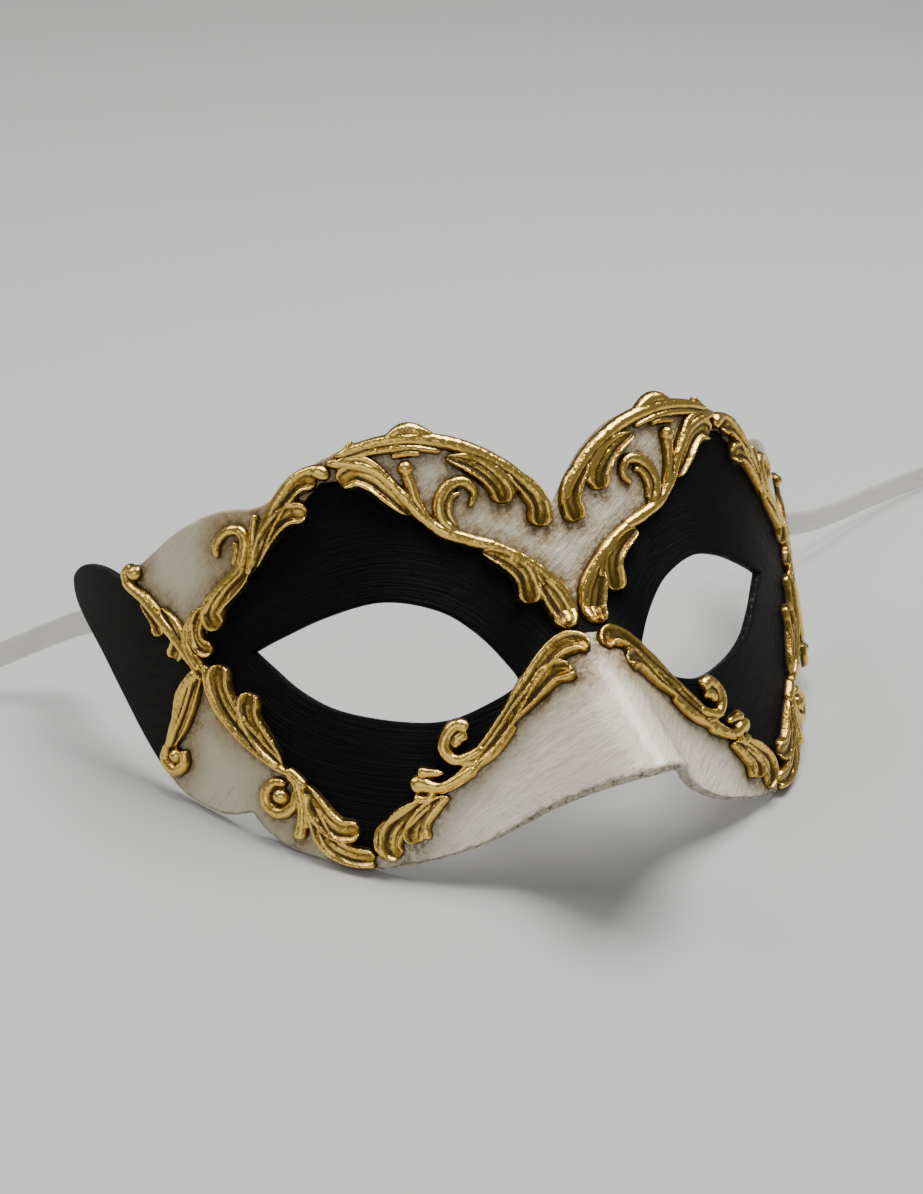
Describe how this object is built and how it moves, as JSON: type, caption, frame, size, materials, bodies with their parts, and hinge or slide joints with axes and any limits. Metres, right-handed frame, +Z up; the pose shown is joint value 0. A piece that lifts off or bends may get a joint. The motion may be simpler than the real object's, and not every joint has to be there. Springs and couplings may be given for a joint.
{
  "type": "venetian half mask",
  "caption": "Venetian half mask, black and ivory with gilt scrollwork relief, two satin ribbons, leaning back on a table.",
  "frame": {"origin": "centre of the mask's footprint at table height, ribbons left out", "axes": "+Z up, +X towards the wearer's left temple, the face looks along -Y"},
  "size_m": [0.3995, 0.1539, 0.0746],
  "materials": {
    "shell": "satin",
    "gilding": "satin",
    "tab": "matte",
    "ribbon": "satin"
  },
  "bodies": {
    "root": {"mask_shell": "shell", "crest_rim_left": "gilding", "crest_rim_right": "gilding", "brow_spray_left": "gilding", "brow_spray_right": "gilding", "forehead_scroll_left": "gilding", "forehead_scroll_right": "gilding", "vee_branch_left": "gilding", "vee_branch_right": "gilding", "outer_brow_leaves_left": "gilding", "outer_brow_leaves_right": "gilding", "temple_scroll_left": "gilding", "temple_scroll_right": "gilding", "side_knot_left": "gilding", "side_knot_right": "gilding", "temple_upper_spray_left": "gilding", "temple_upper_spray_right": "gilding", "temple_lower_spray_left": "gilding", "temple_lower_spray_right": "gilding", "cheek_spray_left": "gilding", "cheek_spray_right": "gilding", "cheek_curl_left": "gilding", "cheek_curl_right": "gilding", "cheek_leaf_left": "gilding", "cheek_leaf_right": "gilding", "inner_cheek_leaves_left": "gilding", "inner_cheek_leaves_right": "gilding", "lower_scroll_left": "gilding", "lower_scroll_right": "gilding", "nose_stem_left": "gilding", "nose_stem_right": "gilding", "ribbon_tab_left": "tab", "ribbon_tab_right": "tab", "ribbon_left": "ribbon", "ribbon_right": "ribbon", "ribbon_coil_left": "ribbon", "ribbon_coil_right": "ribbon"}
  },
  "joints": []
}
